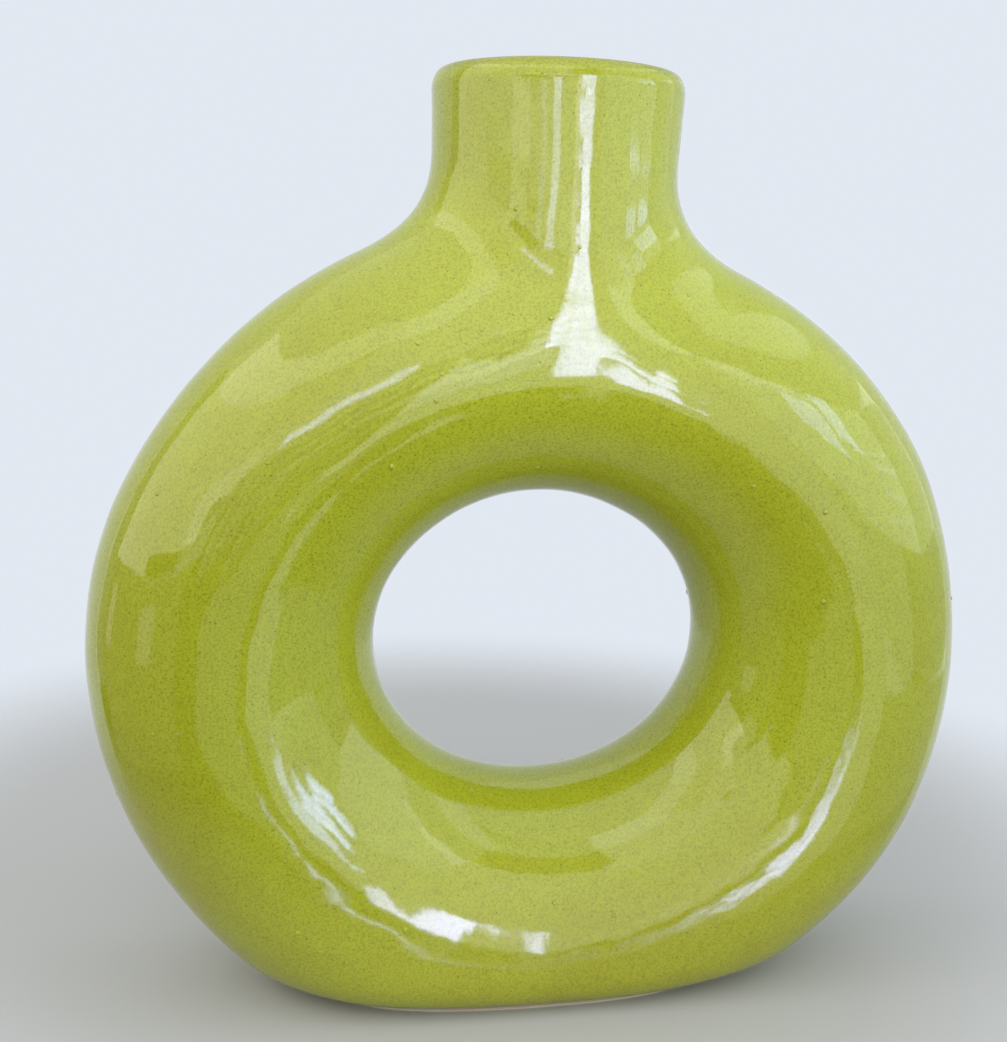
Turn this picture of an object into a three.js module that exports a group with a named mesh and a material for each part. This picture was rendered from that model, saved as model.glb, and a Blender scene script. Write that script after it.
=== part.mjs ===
// Ring vase in glazed stoneware: a hollow ring with an oval hole, a short round neck and a flat sole.
// The ring is two pressed half shells, the neck is a thrown collar, and thin layers of slip join them.
// Millimetres, +Z up. The hole runs along Y and the front faces -Y.
// The origin is the middle of the resting plane.
import * as THREE from 'three';
import { ParametricGeometry } from 'three/addons/geometries/ParametricGeometry.js';
import { mergeVertices } from 'three/addons/utils/BufferGeometryUtils.js';

// Driving dimensions of the ring
const HOLE_WIDTH = 78;
const HOLE_HEIGHT = 68;
const LIMB_WIDTH = 63.5; // from the side of the hole to the outside of the ring
const CROWN_HEIGHT = 61.5; // from the top of the hole to the top of the ring
const SOLE_HEIGHT = 49; // from the resting plane to the bottom of the hole
const BASE_CUT = 17.5; // how much of the round underside the flat base takes away
const RING_DEPTH = 58;
const SECTION_POWER = 2.2; // 2 makes the ring's section an ellipse, and more makes it squarer

// Driving dimensions of the neck
const NECK_DIAMETER = 54;
const NECK_RISE = 31.5; // from the top of the ring to the rim
const LIP_FLARE = 1.3; // how far the lip stands out past the neck
const LIP_FLARE_LENGTH = 45;
const RIM_ROUND = 3; // height of the rounded edge of the rim

// Lengths over which two forms run into each other
const SHOULDER_BLEND = 17; // neck and ring, at the left and right
const FACE_BLEND = 6; // neck and ring, at the front and rear
const ROOT_BLEND = 12; // lower end of the neck's form inside the crown
const BASE_BLEND = 11; // edge of the flat base

// Driving dimensions of the clay and its joints
const WALL = 5;
const SLIP = 1; // thickness of every slip joint
const SOLE_THICKNESS = 6;
const NECK_JOINT_RISE = 5.5; // neck joint above the top of the ring

// Facets
const NECK_STEPS = 12;
const LIMB_STEPS = 28;
const BASE_STEPS = 12;
const OUTSIDE_STEPS = 16;
const INSIDE_STEPS = 10;
const TURN_STEPS = 56;
const COLLAR_STEPS = 5;
const RIM_STEPS = 6;
const SOLE_EDGE_STEPS = 5;

// Places that follow from the driving dimensions
const HOLE_HALF_WIDTH = HOLE_WIDTH / 2;
const HOLE_HALF_HEIGHT = HOLE_HEIGHT / 2;
const HOLE_Z = SOLE_HEIGHT + HOLE_HALF_HEIGHT;
const RING_TOP = SOLE_HEIGHT + HOLE_HEIGHT + CROWN_HEIGHT;
const RING_Z = (RING_TOP - BASE_CUT) / 2;
const RING_HALF_WIDTH = HOLE_HALF_WIDTH + LIMB_WIDTH;
const RING_HALF_HEIGHT = (RING_TOP + BASE_CUT) / 2;
const RING_HALF_DEPTH = RING_DEPTH / 2;
const CROWN_Z = RING_TOP - CROWN_HEIGHT / 2;
const RIM_Z = RING_TOP + NECK_RISE;
const NECK_JOINT_Z = RING_TOP + NECK_JOINT_RISE;
const COLLAR_Z = NECK_JOINT_Z + SLIP;
const BASE_JOINT_Z = SOLE_THICKNESS + SLIP;
const SEAM_Y = SLIP / 2;
const NECK_OVAL = { width: NECK_DIAMETER, depth: NECK_DIAMETER };
const BASE_OVAL = { width: 2 * RING_HALF_WIDTH, depth: RING_DEPTH };
const REACH = RING_HALF_WIDTH + RIM_Z; // a length that is past the outside from any place within
const BISECTIONS = 44;

// Finishes
const GLAZE = { color: 0xa3a836, roughness: 0.16, metalness: 0 };
const BARE_CLAY = { color: 0xd9cdb4, roughness: 0.8, metalness: 0 };

const { clamp, lerp } = THREE.MathUtils;

// Union of two signed distances, rounded over a length
function blendedUnion(a, b, length) {
  const share = clamp(0.5 + (0.5 * (b - a)) / length, 0, 1);
  return lerp(b, a, share) - length * share * (1 - share);
}

// Common part of two signed distances, rounded over a length
function blendedCommon(a, b, length) {
  return -blendedUnion(-a, -b, length);
}

// Distances from the hole's centre to the hole's edge and to the ring's outside, along a direction in XZ
function ringSpan(cos, sin) {
  const hole = 1 / Math.hypot(cos / HOLE_HALF_WIDTH, sin / HOLE_HALF_HEIGHT);
  const lift = (HOLE_Z - RING_Z) / RING_HALF_HEIGHT;
  const along = new THREE.Vector2(cos / RING_HALF_WIDTH, sin / RING_HALF_HEIGHT);
  const slope = along.y * lift;
  const root = Math.sqrt(slope * slope - along.lengthSq() * (lift * lift - 1));
  return { hole, outside: (root - slope) / along.lengthSq() };
}

// Signed distance to the plain ring, taken in by an inset
function ringDistance(x, y, z, inset) {
  const r = Math.hypot(x, z - HOLE_Z);
  const cos = r > 0 ? x / r : 1;
  const sin = r > 0 ? (z - HOLE_Z) / r : 0;
  const { hole, outside } = ringSpan(cos, sin);
  const halfWidth = (outside - hole) / 2 - inset;
  const halfDepth = RING_HALF_DEPTH - inset;
  const offset = r - (outside + hole) / 2;
  const u = Math.abs(offset) / halfWidth;
  const v = Math.abs(y) / halfDepth;
  const size = Math.pow(u ** SECTION_POWER + v ** SECTION_POWER, 1 / SECTION_POWER);
  if (size === 0) return -Math.min(halfWidth, halfDepth);
  return ((size - 1) * Math.hypot(offset, y)) / size;
}

function neckRadius(z) {
  const flare = clamp(1 - (RIM_Z - z) / LIP_FLARE_LENGTH, 0, 1);
  return NECK_DIAMETER / 2 + LIP_FLARE * flare * flare;
}

// Signed distance to the ring and neck together, taken in by an inset, with no rim and no flat base
function bodyDistance(x, y, z, inset) {
  const ring = ringDistance(x, y, z, inset);
  const out = Math.hypot(x, y);
  const column = blendedCommon(out - neckRadius(z) + inset, CROWN_Z - z, ROOT_BLEND);
  const sideways = out > 0 ? (x / out) ** 2 : 0;
  const length = lerp(FACE_BLEND, SHOULDER_BLEND, sideways) + inset;
  return blendedUnion(ring, column, length);
}

// The outside of the clay, flattened at the base, and the hollow within it
const outsideForm = (x, y, z) => blendedCommon(bodyDistance(x, y, z, 0), -z, BASE_BLEND);
const hollowForm = (x, y, z) => bodyDistance(x, y, z, WALL);

// Place on a line where a form goes from inside, at one end, to outside, at the other
function crossing(value, inside, outside) {
  let near = inside;
  let far = outside;
  for (let i = 0; i < BISECTIONS; i += 1) {
    const middle = (near + far) / 2;
    if (value(middle) < 0) near = middle;
    else far = middle;
  }
  return near;
}

// Middle of the clay that is kept, measured from the hole's centre along a direction in XZ
function tubeCentre(cos, sin) {
  const { hole, outside } = ringSpan(cos, sin);
  const toBase = sin < 0 ? (BASE_JOINT_Z - HOLE_Z) / sin : REACH;
  return (hole + Math.min(outside, toBase)) / 2;
}

// Angle round the hole at which a form's seam edge meets a level joint, on the right
function cornerAngle(form, z) {
  const x = crossing((t) => form(t, SEAM_Y, z), 0, REACH);
  return Math.atan2(z - HOLE_Z, x);
}

// Angles round the hole, from the right end of the neck joint clockwise through all four stretches
function stationAngles(form) {
  const neck = cornerAngle(form, NECK_JOINT_Z);
  const base = cornerAngle(form, BASE_JOINT_Z);
  const stretches = [
    { from: neck, to: base, steps: LIMB_STEPS, level: null },
    { from: base, to: -Math.PI - base, steps: BASE_STEPS, level: BASE_JOINT_Z },
    { from: -Math.PI - base, to: -Math.PI - neck, steps: LIMB_STEPS, level: null },
    { from: -Math.PI - neck, to: neck - 2 * Math.PI, steps: NECK_STEPS, level: NECK_JOINT_Z },
  ];
  const stations = [];
  for (const { from, to, steps, level } of stretches) {
    for (let i = 0; i < steps; i += 1) {
      // A level joint's outline turns fastest at its two ends, so its stations are closer there
      const share = level === null ? i / steps : (1 - Math.cos((Math.PI * i) / steps)) / 2;
      // The first station of a stretch is a corner, which lies on the seam and on the level joint
      stations.push({ angle: lerp(from, to, share), level: i > 0 ? level : null });
    }
  }
  return stations;
}

// Half of a form's section at one station, from its outer joint to its joint at the hole.
// Each point is a distance from the hole's centre and a depth from the seam's middle plane.
function halfSection(form, station, steps) {
  const cos = Math.cos(station.angle);
  const sin = Math.sin(station.angle);
  const centre = tubeCentre(cos, sin);
  const value = (r, depth) => form(r * cos, depth, HOLE_Z + r * sin);
  const last = { r: crossing((r) => value(r, SEAM_Y), centre, 0), depth: SEAM_Y };
  const first = { r: 0, depth: SEAM_Y };
  if (station.level === null) {
    first.r = crossing((r) => value(r, SEAM_Y), centre, REACH);
  } else {
    first.r = (station.level - HOLE_Z) / sin;
    first.depth = crossing((depth) => value(first.r, depth), 0, REACH);
  }
  const start = Math.atan2(first.depth, first.r - centre);
  const end = Math.atan2(last.depth, last.r - centre);
  const section = [first];
  for (let j = 1; j < steps; j += 1) {
    const turn = lerp(start, end, j / steps);
    const across = Math.cos(turn);
    const outward = Math.sin(turn);
    const limit = across < 0 ? Math.min(REACH, -centre / across) : REACH;
    const t = crossing((s) => value(centre + s * across, s * outward), 0, limit);
    section.push({ r: centre + t * across, depth: t * outward });
  }
  section.push(last);
  return section.map(({ r, depth }) => new THREE.Vector3(r * cos, depth, HOLE_Z + r * sin));
}

// Merges a surface's doubled vertices, drops its empty triangles and turns its faces outward
function closedSolid(geometry) {
  geometry.deleteAttribute('normal');
  geometry.deleteAttribute('uv');
  const merged = mergeVertices(geometry);
  const corner = [0, 1, 2].map(() => new THREE.Vector3());
  const triangles = [];
  let volume = 0;
  for (let i = 0; i < merged.index.count; i += 3) {
    const triangle = [0, 1, 2].map((k) => merged.index.getX(i + k));
    if (new Set(triangle).size === 3) {
      triangles.push(triangle);
      triangle.forEach((vertex, k) => corner[k].fromBufferAttribute(merged.attributes.position, vertex));
      volume += corner[0].dot(corner[1].cross(corner[2]));
    }
  }
  const outward = volume > 0 ? triangles : triangles.map(([a, b, c]) => [a, c, b]);
  merged.setIndex(outward.flat());
  merged.computeVertexNormals();
  return merged;
}

// Solid whose surface runs through rows of points. The rows close on each other, or end in poles.
function loft(rows, rowsClose) {
  const stacks = rowsClose ? rows.length : rows.length - 1;
  const slices = rows[0].length;
  const place = (u, v, target) => {
    const row = rows[Math.round(v * stacks) % rows.length];
    target.copy(row[Math.round(u * slices) % slices]);
  };
  return closedSolid(new ParametricGeometry(place, slices, stacks));
}

// Rows of points across the stations, from a list of sections
const transposed = (sections) => sections[0].map((_, j) => sections.map((section) => section[j]));

// One half of the ring: outside from joint to joint, then back along the hollow
function halfShell(side, outside, hollow) {
  const wall = outside.map((section, i) => [...section, ...hollow[i].toReversed()]);
  const mirrored = wall.map((section) => section.map(({ x, y, z }) => new THREE.Vector3(x, side * y, z)));
  return loft(transposed(mirrored), true);
}

// Flat layer of slip between the halves, from an outline in XZ with an optional hole.
// Both run the same way round, and the hole is turned because a shape's holes run against its outline.
function seamLayer(outline, hole) {
  const flat = (points) => points.map(({ x, z }) => new THREE.Vector2(x, z));
  const shape = new THREE.Shape(flat(outline));
  if (hole) shape.holes.push(new THREE.Path(flat(hole).reverse()));
  const layer = new THREE.ExtrudeGeometry(shape, { depth: SLIP, bevelEnabled: false });
  layer.rotateX(Math.PI / 2).translate(0, SEAM_Y, 0);
  return closedSolid(layer);
}

// Level outline of a form about the Z axis, with its points spread as on an oval of a width and a depth
function levelOutline(form, z, oval) {
  return Array.from({ length: TURN_STEPS }, (_, i) => {
    const turn = (2 * Math.PI * i) / TURN_STEPS;
    const way = new THREE.Vector2(oval.width * Math.cos(turn), oval.depth * Math.sin(turn)).normalize();
    const out = crossing((t) => form(t * way.x, t * way.y, z), 0, REACH);
    return new THREE.Vector3(out * way.x, out * way.y, z);
  });
}

// Level layer of slip that follows the wall between two heights
function slipRing(low, high, oval) {
  const rows = [
    levelOutline(outsideForm, low, oval),
    levelOutline(outsideForm, high, oval),
    levelOutline(hollowForm, high, oval),
    levelOutline(hollowForm, low, oval),
  ];
  return loft(rows, true);
}

// Neck from its joint to the rim, with a wall that is rounded over at the top
function neckCollar() {
  const straight = RIM_Z - RIM_ROUND;
  const height = (_, i) => lerp(COLLAR_Z, straight, i / COLLAR_STEPS);
  const heights = Array.from({ length: COLLAR_STEPS + 1 }, height);
  const outside = heights.map((z) => levelOutline(outsideForm, z, NECK_OVAL));
  const inside = heights.map((z) => levelOutline(hollowForm, z, NECK_OVAL)).toReversed();
  const rim = [];
  for (let j = 1; j < RIM_STEPS; j += 1) {
    const turn = (Math.PI * j) / RIM_STEPS;
    const inward = (1 - Math.cos(turn)) / 2;
    const lift = RIM_ROUND * Math.sin(turn);
    const over = (point, i) => point.clone().lerp(inside[0][i], inward).setZ(straight + lift);
    rim.push(outside.at(-1).map(over));
  }
  return loft([...outside, ...rim, ...inside], true);
}

// Flat sole with the rounded edge of the base, which starts where the resting face ends
function soleSlab() {
  const restingFace = (x, y, z) => bodyDistance(x, y, z, 0) + BASE_BLEND;
  const edge = Array.from({ length: SOLE_EDGE_STEPS }, (_, i) => {
    const share = (i + 1) / SOLE_EDGE_STEPS;
    return levelOutline(outsideForm, SOLE_THICKNESS * share * share, BASE_OVAL);
  });
  const pole = (z) => Array.from({ length: TURN_STEPS }, () => new THREE.Vector3(0, 0, z));
  const rows = [pole(0), levelOutline(restingFace, 0, BASE_OVAL), ...edge, pole(SOLE_THICKNESS)];
  return loft(rows, false);
}

// Sections of the outside and of the hollow, and where they meet the seam
const outsideStations = stationAngles(outsideForm);
const outsideSections = outsideStations.map((station) => halfSection(outsideForm, station, OUTSIDE_STEPS));
const hollowStations = stationAngles(hollowForm);
const hollowSections = hollowStations.map((station) => halfSection(hollowForm, station, INSIDE_STEPS));
const rightLimb = [0, LIMB_STEPS + 1];
const leftLimb = [LIMB_STEPS + BASE_STEPS, 2 * LIMB_STEPS + BASE_STEPS + 1];

// Outline of the outer seam along one limb
function limbSeam([from, to]) {
  const firsts = (sections) => sections.slice(from, to).map((section) => section[0]);
  return seamLayer([...firsts(outsideSections), ...firsts(hollowSections).toReversed()]);
}

const holeEdge = outsideSections.map((section) => section.at(-1));
const hollowEdge = hollowSections.map((section) => section.at(-1));

const vase = new THREE.Group();
vase.name = 'ring_vase';

function addPiece(name, geometry, finish) {
  const piece = new THREE.Mesh(geometry, new THREE.MeshStandardMaterial(finish));
  piece.name = name;
  vase.add(piece);
}

addPiece('ring_front_shell', halfShell(-1, outsideSections, hollowSections), GLAZE);
addPiece('ring_rear_shell', halfShell(1, outsideSections, hollowSections), GLAZE);
addPiece('outer_seam_left', limbSeam(leftLimb), GLAZE);
addPiece('outer_seam_right', limbSeam(rightLimb), GLAZE);
addPiece('inner_seam', seamLayer(hollowEdge, holeEdge), GLAZE);
addPiece('neck_collar', neckCollar(), GLAZE);
addPiece('neck_seam', slipRing(NECK_JOINT_Z, COLLAR_Z, NECK_OVAL), GLAZE);
addPiece('base_slab', soleSlab(), BARE_CLAY);
addPiece('base_seam', slipRing(SOLE_THICKNESS, BASE_JOINT_Z, BASE_OVAL), GLAZE);

export default vase;
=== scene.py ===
"""Lime-green ring vase in glazed stoneware, with an oval hole, a short neck and a flat sole.

Metres, +Z up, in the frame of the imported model. The clay's shape is one rule, a ring and a neck that
run into each other, and a Geometry Nodes tree holds it. Each piece is laid out as points inside the
clay, and the tree walks every point outward until it leaves the clay.
"""
import logging
import math
from dataclasses import asdict, dataclass, fields, replace
from enum import Enum
from typing import Iterable, Optional, Sequence, Union

import bpy
import numpy as np
from mathutils import Matrix, Vector


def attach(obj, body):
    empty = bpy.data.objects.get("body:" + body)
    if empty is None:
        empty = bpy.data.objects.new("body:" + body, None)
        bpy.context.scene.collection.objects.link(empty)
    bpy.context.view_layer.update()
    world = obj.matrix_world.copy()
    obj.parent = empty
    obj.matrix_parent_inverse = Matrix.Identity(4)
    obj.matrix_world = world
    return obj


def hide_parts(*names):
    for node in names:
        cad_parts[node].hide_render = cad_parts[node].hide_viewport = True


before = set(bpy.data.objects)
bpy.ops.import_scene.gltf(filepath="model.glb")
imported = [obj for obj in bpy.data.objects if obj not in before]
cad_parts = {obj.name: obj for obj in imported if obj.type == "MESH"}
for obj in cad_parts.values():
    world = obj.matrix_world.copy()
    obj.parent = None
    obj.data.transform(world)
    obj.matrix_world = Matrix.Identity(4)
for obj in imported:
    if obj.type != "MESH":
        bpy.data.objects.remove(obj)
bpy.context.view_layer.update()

LOG = logging.getLogger("ring_vase")
BODY = "root"
Colour = tuple[float, float, float, float]
Value = Union[float, "Wire"]


class Wire:
    """Output socket of a node, with the arithmetic that the clay's rule and the finishes use."""

    def __init__(self, web: "Web", socket: bpy.types.NodeSocket) -> None:
        """Keeps the tree and the socket."""
        self.web = web
        self.socket = socket

    def __add__(self, other: Value) -> "Wire":
        """Sum."""
        return self.web.math("ADD", self, other)

    def __radd__(self, other: Value) -> "Wire":
        """Sum that starts with a number."""
        return self.web.math("ADD", other, self)

    def __sub__(self, other: Value) -> "Wire":
        """Difference."""
        return self.web.math("SUBTRACT", self, other)

    def __rsub__(self, other: Value) -> "Wire":
        """Difference that starts with a number."""
        return self.web.math("SUBTRACT", other, self)

    def __mul__(self, other: Value) -> "Wire":
        """Product."""
        return self.web.math("MULTIPLY", self, other)

    def __rmul__(self, other: Value) -> "Wire":
        """Product that starts with a number."""
        return self.web.math("MULTIPLY", other, self)

    def __truediv__(self, other: Value) -> "Wire":
        """Quotient."""
        return self.web.math("DIVIDE", self, other)

    def __rtruediv__(self, other: Value) -> "Wire":
        """Quotient that starts with a number."""
        return self.web.math("DIVIDE", other, self)

    def __pow__(self, other: Value) -> "Wire":
        """Power."""
        return self.web.math("POWER", self, other)

    def __rpow__(self, other: Value) -> "Wire":
        """Power of a number."""
        return self.web.math("POWER", other, self)

    def __neg__(self) -> "Wire":
        """Value with its sign turned."""
        return self.web.math("MULTIPLY", self, -1.0)

    def __abs__(self) -> "Wire":
        """Value without its sign."""
        return self.web.math("ABSOLUTE", self)

    def root(self) -> "Wire":
        """Square root."""
        return self.web.math("SQRT", self)

    def cosine(self) -> "Wire":
        """Cosine of an angle in radians."""
        return self.web.math("COSINE", self)

    def clamped(self) -> "Wire":
        """Value held between 0 and 1."""
        return self.web.math("ADD", self, 0.0, clamp=True)


class Web:
    """Node tree under construction."""

    def __init__(self, tree: bpy.types.NodeTree) -> None:
        """Keeps the tree."""
        self.tree = tree

    @classmethod
    def shading(cls, owner: Union[bpy.types.Material, bpy.types.World]) -> "Web":
        """Starts the shader tree of a material or of the world.

        Args:
            owner: The material or the world.

        Returns:
            Its tree, empty.
        """
        owner.use_nodes = True
        owner.node_tree.nodes.clear()
        return cls(owner.node_tree)

    @classmethod
    def group(cls, name: str, inputs: dict[str, str], output: str, output_type: str) -> "Web":
        """Starts a Geometry Nodes group.

        Args:
            name: Name of the group.
            inputs: Type of each input, by name.
            output: Name of its one output.
            output_type: Type of that output.

        Returns:
            The group's tree.
        """
        tree = bpy.data.node_groups.new(name, "GeometryNodeTree")
        for socket, kind in inputs.items():
            tree.interface.new_socket(socket, in_out="INPUT", socket_type=kind)
        tree.interface.new_socket(output, in_out="OUTPUT", socket_type=output_type)
        return cls(tree)

    def node(self, kind: str, settings: Optional[dict] = None,
             sockets: Optional[dict] = None) -> bpy.types.Node:
        """Adds a node.

        Args:
            kind: Blender's name of the node's type.
            settings: Properties of the node, which are set before its sockets.
            sockets: Values or wires, by the name or the place of the input.

        Returns:
            The node.
        """
        node = self.tree.nodes.new(kind)
        for name, value in (settings or {}).items():
            setattr(node, name, value)
        self.feed(node, sockets or {})
        return node

    def feed(self, node: bpy.types.Node, sockets: dict) -> None:
        """Sets or links a node's inputs.

        Args:
            node: The node.
            sockets: Values or wires, by the name or the place of the input.
        """
        for key, value in sockets.items():
            if isinstance(value, Wire):
                self.tree.links.new(value.socket, node.inputs[key])
            else:
                node.inputs[key].default_value = value

    def add(self, kind: str, settings: Optional[dict] = None, sockets: Optional[dict] = None,
            output: Union[int, str] = 0) -> Wire:
        """Adds a node and hands back one of its outputs.

        Args:
            kind: Blender's name of the node's type.
            settings: Properties of the node.
            sockets: Values or wires of its inputs.
            output: Name or place of the output.

        Returns:
            The output as a wire.
        """
        return Wire(self, self.node(kind, settings, sockets).outputs[output])

    def outputs(self, node: bpy.types.Node, names: Iterable[str]) -> list[Wire]:
        """Outputs of a node that have these names, in their order."""
        return [Wire(self, node.outputs[name]) for name in names]

    def math(self, operation: str, *values: Value, clamp: bool = False) -> Wire:
        """Math node on one or two values."""
        settings = {"operation": operation, "use_clamp": clamp}
        return self.add("ShaderNodeMath", settings, dict(enumerate(values)))

    def vector(self, operation: str, first: Union[Wire, Vector], second: Union[Wire, Vector]) -> Wire:
        """Vector Math node on two vectors."""
        return self.add("ShaderNodeVectorMath", {"operation": operation}, {0: first, 1: second})

    def scaled(self, vector: Wire, scale: Value) -> Wire:
        """Vector times a number."""
        sockets = {"Vector": vector, "Scale": scale}
        return self.add("ShaderNodeVectorMath", {"operation": "SCALE"}, sockets)

    def split(self, vector: Wire) -> list[Wire]:
        """The three parts of a vector."""
        parts = self.node("ShaderNodeSeparateXYZ", sockets={0: vector})
        return self.outputs(parts, "XYZ")

    def mixed(self, share: Value, first: Union[Wire, Colour], second: Union[Wire, Colour]) -> Wire:
        """Colour between two colours."""
        settings = {"data_type": "RGBA", "clamp_factor": True}
        return self.add("ShaderNodeMix", settings, {0: share, 6: first, 7: second}, output=2)


def length_of(first: Wire, second: Wire) -> Wire:
    """Length of the long side over two sides at right angles."""
    return (first * first + second * second).root()


def blended_union(first: Wire, second: Wire, length: Value) -> Wire:
    """Union of two signed distances, rounded over a length."""
    share = (0.5 + 0.5 * (second - first) / length).clamped()
    return second + (first - second) * share - length * share * (1 - share)


def blended_common(first: Wire, second: Wire, length: Value) -> Wire:
    """Common part of two signed distances, rounded over a length."""
    return -blended_union(-first, -second, length)


@dataclass(frozen=True)
class Lobe:
    """One slow swell of an outline made by hand, a number of times round it."""

    count: int
    height: float
    turn: float


@dataclass(frozen=True)
class ClaySizes:
    """Driving sizes of the clay. Inside a node tree, each field is a wire."""

    hole_width: Value = 0.078
    hole_height: Value = 0.068
    limb_width: Value = 0.0635
    crown_height: Value = 0.0615
    sole_height: Value = 0.049
    base_cut: Value = 0.0175
    ring_depth: Value = 0.058
    section_power: Value = 2.0
    ridge_share: Value = 0.56
    ridge_drop: Value = 0.10
    neck_diameter: Value = 0.054
    neck_rise: Value = 0.0315
    lip_flare: Value = 0.0013
    lip_flare_length: Value = 0.045
    shoulder_blend: Value = 0.017
    face_blend: Value = 0.006
    root_blend: Value = 0.012
    base_blend: Value = 0.011
    wall: Value = 0.005
    unevenness: Value = 0.00042
    unevenness_length: Value = 0.028

    @property
    def hole_z(self) -> Value:
        """Height of the hole's centre."""
        return self.sole_height + self.hole_height / 2

    @property
    def ring_top(self) -> Value:
        """Height of the ring's top, under the neck."""
        return self.sole_height + self.hole_height + self.crown_height

    @property
    def ring_z(self) -> Value:
        """Height of the middle of the ring's outside."""
        return (self.ring_top - self.base_cut) / 2

    @property
    def ring_half_width(self) -> Value:
        """Half the width of the ring."""
        return self.hole_width / 2 + self.limb_width

    @property
    def ring_half_height(self) -> Value:
        """Half the height of the ring before its underside is cut."""
        return (self.ring_top + self.base_cut) / 2

    @property
    def crown_z(self) -> Value:
        """Height of the middle of the crown."""
        return self.ring_top - self.crown_height / 2

    @property
    def rim_z(self) -> Value:
        """Height of the rim."""
        return self.ring_top + self.neck_rise


@dataclass(frozen=True)
class ClayRule:
    """The rule for the clay's shape, as nodes: a signed distance that is below zero inside the clay."""

    sizes: ClaySizes
    outside_lobes: tuple[Lobe, ...] = (
        Lobe(3, 0.00056, -0.54),
        Lobe(4, 0.00025, -0.94),
        Lobe(5, 0.00070, 3.04),
    )
    hole_lobes: tuple[Lobe, ...] = (Lobe(2, 0.00020, -2.02), Lobe(3, 0.00021, -0.86))
    hand_detail: float = 2.0
    hand_roughness: float = 0.42

    @staticmethod
    def swell(angle: Wire, lobes: Iterable[Lobe]) -> Wire:
        """How far the lobes move an outline, at an angle round the hole."""
        return sum(lobe.height * (lobe.count * angle - lobe.turn).cosine() for lobe in lobes)

    def ring(self, x: Wire, y: Wire, z: Wire, inset: Wire) -> Wire:
        """Signed distance to the ring.

        Args:
            x: Place across the ring.
            y: Place through the hole.
            z: Height.
            inset: How far the ring is taken in on all sides.

        Returns:
            The distance, exact on the surface and close to it nearby.
        """
        s = self.sizes
        rise = z - s.hole_z
        out = length_of(x, rise)
        cos, sin = x / out, rise / out
        hole = 1 / length_of(cos / (s.hole_width / 2), sin / (s.hole_height / 2))
        lift = (s.hole_z - s.ring_z) / s.ring_half_height
        across, along = cos / s.ring_half_width, sin / s.ring_half_height
        slope = along * lift
        square = across * across + along * along
        outside = ((slope * slope - square * (lift * lift - 1)).root() - slope) / square
        angle = x.web.math("ARCTAN2", rise, x)
        hole = hole + self.swell(angle, self.hole_lobes)
        outside = outside + self.swell(angle, self.outside_lobes)
        ridge = hole + (outside - hole) * (s.ridge_share - s.ridge_drop * sin)
        offset = out - ridge
        inward = x.web.math("LESS_THAN", offset, 0.0)
        half_width = inward * (ridge - hole) + (1 - inward) * (outside - ridge) - inset
        half_depth = s.ring_depth / 2 - inset
        share = (abs(offset) / half_width) ** s.section_power + (abs(y) / half_depth) ** s.section_power
        size = share ** (1 / s.section_power)
        return (size - 1) * length_of(offset, y) / size

    def neck(self, x: Wire, y: Wire, z: Wire, inset: Wire) -> Wire:
        """Signed distance to the neck, which ends softly inside the crown.

        Args:
            x: Place across the ring.
            y: Place through the hole.
            z: Height.
            inset: How far the neck is taken in all round.

        Returns:
            The distance.
        """
        s = self.sizes
        flare = (1 - (s.rim_z - z) / s.lip_flare_length).clamped()
        radius = s.neck_diameter / 2 + s.lip_flare * flare * flare
        return blended_common(length_of(x, y) - radius + inset, s.crown_z - z, s.root_blend)

    def distance(self, place: Wire, inset: Wire, sole_level: Wire) -> Wire:
        """Signed distance to the whole clay form.

        Args:
            place: Where the distance is taken.
            inset: How far the form is taken in on all sides.
            sole_level: Height at which the underside is cut flat.

        Returns:
            The distance, below zero inside.
        """
        s, web = self.sizes, place.web
        x, y, z = web.split(place)
        sideways = x / length_of(x, y)
        blend = s.face_blend + (s.shoulder_blend - s.face_blend) * sideways * sideways + inset
        body = blended_union(self.ring(x, y, z, inset), self.neck(x, y, z, inset), blend)
        hand = web.add("ShaderNodeTexNoise", sockets={
            "Vector": place, "Scale": 1 / s.unevenness_length,
            "Detail": self.hand_detail, "Roughness": self.hand_roughness})
        uneven = body + (hand - 0.5) * 2 * s.unevenness
        return blended_common(uneven, sole_level - z, s.base_blend)


class Skin(Enum):
    """The two faces of the clay. The value is the way that a face points."""

    OUTSIDE = 1
    HOLLOW = -1


class Half(Enum):
    """The two halves of the ring. The value is the sign of Y."""

    FRONT = -1
    REAR = 1


@dataclass
class Row:
    """Row of points inside the clay, with how far each may walk. Facing 0 means that it stays."""

    starts: np.ndarray
    reaches: np.ndarray
    facing: int

    @classmethod
    def fixed(cls, places: np.ndarray) -> "Row":
        """Row that stays where it is."""
        return cls(places, np.zeros_like(places), 0)

    @classmethod
    def level(cls, directions: np.ndarray, z: float, reach: float, skin: Skin) -> "Row":
        """Row that walks out from the Z axis at one height.

        Args:
            directions: Level directions of unit length, one for each point.
            z: The height.
            reach: How far a point may walk.
            skin: The face of the clay that it walks to.

        Returns:
            The row.
        """
        starts = np.zeros_like(directions)
        starts[:, 2] = z
        return cls(starts, directions * reach, skin.value)

    def picked(self, columns: Sequence[int]) -> "Row":
        """Row of some of the columns, in their order."""
        return Row(self.starts[columns], self.reaches[columns], self.facing)

    def joined(self, other: "Row") -> "Row":
        """This row followed by another."""
        starts = np.concatenate([self.starts, other.starts])
        return Row(starts, np.concatenate([self.reaches, other.reaches]), self.facing)


class Ends(Enum):
    """How a loft of rows ends: its columns close into rings, or its two ends are capped."""

    RINGS = "rows and columns both close"
    CAPPED_COLUMNS = "rows close, and the first and last columns are capped"
    CAPPED_ROWS = "columns close, and the first and last rows are capped"
    OPEN_ROWS = "columns close, and the first and last rows stay open"


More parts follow.
